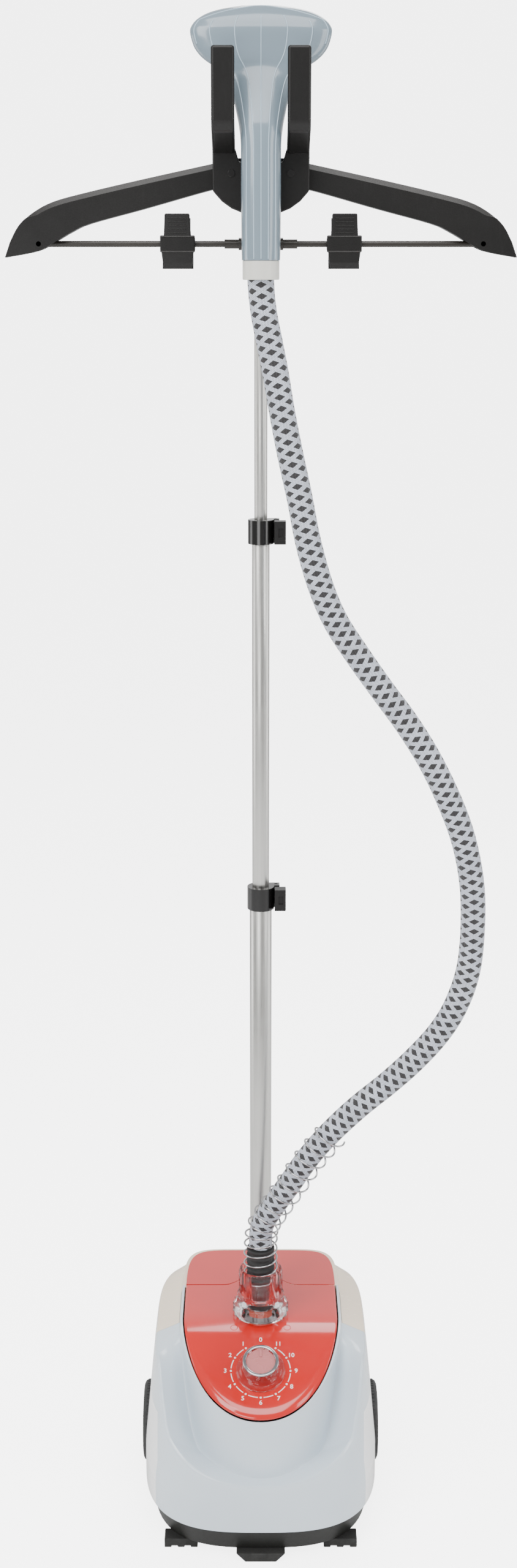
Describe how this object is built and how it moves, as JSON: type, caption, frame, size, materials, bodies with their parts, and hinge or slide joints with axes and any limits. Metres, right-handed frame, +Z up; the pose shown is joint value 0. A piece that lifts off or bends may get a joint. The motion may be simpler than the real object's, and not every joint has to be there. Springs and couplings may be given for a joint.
{
  "type": "garment steamer",
  "caption": "Upright garment steamer: wheeled steam base with lift-off tank and dial, telescoping mast with folding hanger and trouser clips, and a handset on a braided hose.",
  "frame": {"origin": "on the floor under the middle of the part's box, measured without the hose", "axes": "+Z up along the mast, +X to the hanger's right arm, -Y towards the dial side"},
  "size_m": [0.528, 0.316, 1.6655],
  "materials": {
    "shell_grey": "gloss",
    "panel_white": "gloss",
    "panel_red": "gloss",
    "tank_cream": "satin, slightly translucent",
    "chassis_dark": "fine grain",
    "foot_rubber": "matt",
    "black_satin": "satin",
    "black_gloss": "gloss",
    "rod_steel": "satin black",
    "tube_aluminium": "satin anodised",
    "boiler_cast": "as cast",
    "sheet_steel": "brushed",
    "silicone": "matt",
    "switch_plastic": "matt",
    "clear_plastic": "clear polycarbonate",
    "dial_pink": "satin",
    "tyre_black": "matt",
    "hub_grey": "satin",
    "handset_blue": "gloss",
    "plate_steel": "brushed",
    "duct_white": "matt",
    "collar_cream": "satin",
    "braid": "woven braid with black marks",
    "cuff_black": "satin",
    "spring_steel": "bright wire"
  },
  "bodies": {
    "root": {"base_tray": "chassis_dark", "front_foot": "foot_rubber", "corner_feet": "foot_rubber", "front_shell": "shell_grey", "side_panel_left": "panel_white", "side_panel_right": "panel_white", "control_panel": "panel_red", "boiler_body": "boiler_cast", "boiler_cover": "sheet_steel", "heater_element": "sheet_steel", "thermostat": "sheet_steel", "feed_tube": "silicone", "outlet_spout": "boiler_cast", "outlet_seal": "silicone", "well_seat": "chassis_dark", "dial_switch": "switch_plastic", "axle": "sheet_steel", "base_screws": "sheet_steel", "cable_gland": "black_satin", "mast_socket": "black_satin", "tube_lower": "tube_aluminium", "clamp_lower": "black_gloss", "hose": "braid", "hose_cuff": "cuff_black", "hose_spring": "spring_steel"},
    "tank": {"water_tank": "tank_cream", "tank_lid": "panel_red", "tank_cap": "black_satin"},
    "dial": {"dial_knob": "clear_plastic", "dial_insert": "dial_pink"},
    "nut": {"hose_nut": "clear_plastic"},
    "wheel_left": {"tyre_left": "tyre_black", "wheel_hub_left": "hub_grey"},
    "wheel_right": {"tyre_right": "tyre_black", "wheel_hub_right": "hub_grey"},
    "latch_lower": {"lever_lower": "black_gloss"},
    "latch_upper": {"lever_upper": "black_gloss"},
    "mast_middle": {"tube_middle": "tube_aluminium", "bush_middle": "black_satin", "clamp_upper": "black_gloss"},
    "mast_upper": {"tube_upper": "tube_aluminium", "bush_upper": "black_satin", "hanger_hub": "black_satin", "fork": "black_satin", "rod_boss": "black_satin", "arm_screws": "sheet_steel"},
    "hanger_left": {"arm_left": "black_satin", "rod_left": "rod_steel"},
    "hanger_right": {"arm_right": "black_satin", "rod_right": "rod_steel"},
    "clip_left_body": {"clip_left": "black_satin"},
    "clip_right_body": {"clip_right": "black_satin"},
    "jaw_left": {"clip_jaw_left": "black_satin"},
    "jaw_right": {"clip_jaw_right": "black_satin"},
    "handset": {"handset_shell": "handset_blue", "steam_plate": "plate_steel", "steam_duct": "duct_white", "handset_collar": "collar_cream", "handset_screws": "sheet_steel"}
  },
  "joints": [
    {"name": "middle_tube_slide", "type": "slide", "parent": "root", "child": "mast_middle", "axis": [0, 0, 1], "range_m": [-0.36, 0], "deforming": ["hose", "hose_spring"]},
    {"name": "upper_tube_slide", "type": "slide", "parent": "mast_middle", "child": "mast_upper", "axis": [0, 0, 1], "range_m": [-0.26, 0], "deforming": ["hose", "hose_spring"]},
    {"name": "handset_lift", "type": "slide", "parent": "mast_upper", "child": "handset", "axis": [0, 0, 1], "range_m": [0, 0.05], "deforming": ["hose", "hose_spring"]},
    {"name": "arm_left_fold", "type": "hinge", "parent": "mast_upper", "child": "hanger_left", "pos_m": [-0.03, 0.034, 1.507], "axis": [0, 1, 0], "range_deg": [0, 80]},
    {"name": "arm_right_fold", "type": "hinge", "parent": "mast_upper", "child": "hanger_right", "pos_m": [0.03, 0.034, 1.507], "axis": [0, -1, 0], "range_deg": [0, 80]},
    {"name": "clip_left_slide", "type": "slide", "parent": "hanger_left", "child": "clip_left_body", "axis": [-1, 0, 0], "range_m": [-0.028, 0.034]},
    {"name": "clip_right_slide", "type": "slide", "parent": "hanger_right", "child": "clip_right_body", "axis": [1, 0, 0], "range_m": [-0.028, 0.034]},
    {"name": "jaw_left_open", "type": "hinge", "parent": "clip_left_body", "child": "jaw_left", "pos_m": [-0.086, 0.034, 1.4385], "axis": [1, 0, 0], "range_deg": [0, 25], "stiffness_Nm_per_rad": 0.15, "springref_deg": -34.38},
    {"name": "jaw_right_open", "type": "hinge", "parent": "clip_right_body", "child": "jaw_right", "pos_m": [0.086, 0.034, 1.4385], "axis": [1, 0, 0], "range_deg": [0, 25], "stiffness_Nm_per_rad": 0.15, "springref_deg": -34.38},
    {"name": "clamp_lower_latch", "type": "hinge", "parent": "root", "child": "latch_lower", "pos_m": [0.0174, 0.058, 0.723], "axis": [0, 0, 1], "range_deg": [0, 100]},
    {"name": "clamp_upper_latch", "type": "hinge", "parent": "mast_middle", "child": "latch_upper", "pos_m": [0.0161, 0.058, 1.139], "axis": [0, 0, 1], "range_deg": [0, 100]},
    {"name": "dial_turn", "type": "hinge", "parent": "root", "child": "dial", "pos_m": [0, -0.084, 0.19881], "axis": [0, -0.44, 0.898], "range_deg": [0, 300]},
    {"name": "nut_turn", "type": "hinge", "parent": "root", "child": "nut", "pos_m": [0, 0, 0.24], "axis": [0, 0, 1], "range_deg": [0, 90]},
    {"name": "tank_lift", "type": "slide", "parent": "root", "child": "tank", "axis": [0, 0, 1], "range_m": [0, 0.16]},
    {"name": "wheel_left_spin", "type": "hinge", "parent": "root", "child": "wheel_left", "pos_m": [-0.13, 0.05, 0.048], "axis": [1, 0, 0], "continuous": true},
    {"name": "wheel_right_spin", "type": "hinge", "parent": "root", "child": "wheel_right", "pos_m": [0.13, 0.05, 0.048], "axis": [1, 0, 0], "continuous": true}
  ],
  "couplings": [
    {"joint": "upper_tube_slide", "follows": "middle_tube_slide", "ratio": 0.72}
  ]
}
